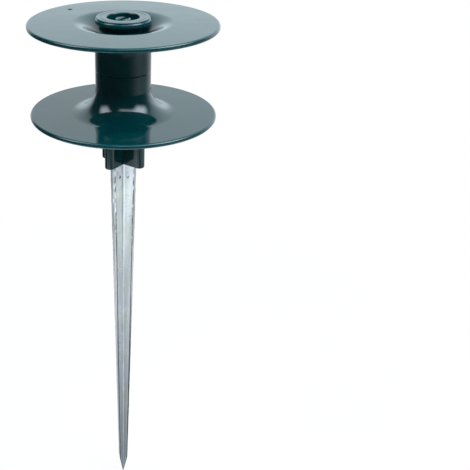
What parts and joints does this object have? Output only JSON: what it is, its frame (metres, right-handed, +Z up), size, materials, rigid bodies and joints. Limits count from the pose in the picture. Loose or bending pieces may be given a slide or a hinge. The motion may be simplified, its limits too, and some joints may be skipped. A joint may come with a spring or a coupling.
{
  "type": "hose guide stake",
  "caption": "Hose guide stake: a flanged plastic spool turns freely on a spindle above a cast metal ground spike of cross-shaped section.",
  "frame": {"origin": "on the axis at the soil line, the underside of the stake head", "axes": "+Z up along the spindle, X and Y along the spike's fins"},
  "size_m": [0.13, 0.13, 0.4021],
  "materials": {
    "green_plastic": "polished injection moulding, dark blue-green",
    "green_acetal": "injection moulding, dark blue-green, slightly duller than the spool",
    "white_nylon": "plain moulded washer, natural white",
    "cast_zinc": "bare pressure casting in zinc alloy, light grey"
  },
  "bodies": {
    "stake": {"ground_spike": "cast_zinc", "stake_head": "green_plastic", "spindle": "green_acetal", "thrust_washer": "white_nylon"},
    "spool": {"lower_spool_half": "green_plastic", "upper_spool_half": "green_plastic", "bottom_cap": "green_plastic", "top_cap": "green_plastic"}
  },
  "joints": [
    {"name": "spool_spin", "type": "hinge", "parent": "stake", "child": "spool", "pos_m": [0, 0, 0.0687], "axis": [0, 0, 1], "continuous": true}
  ]
}
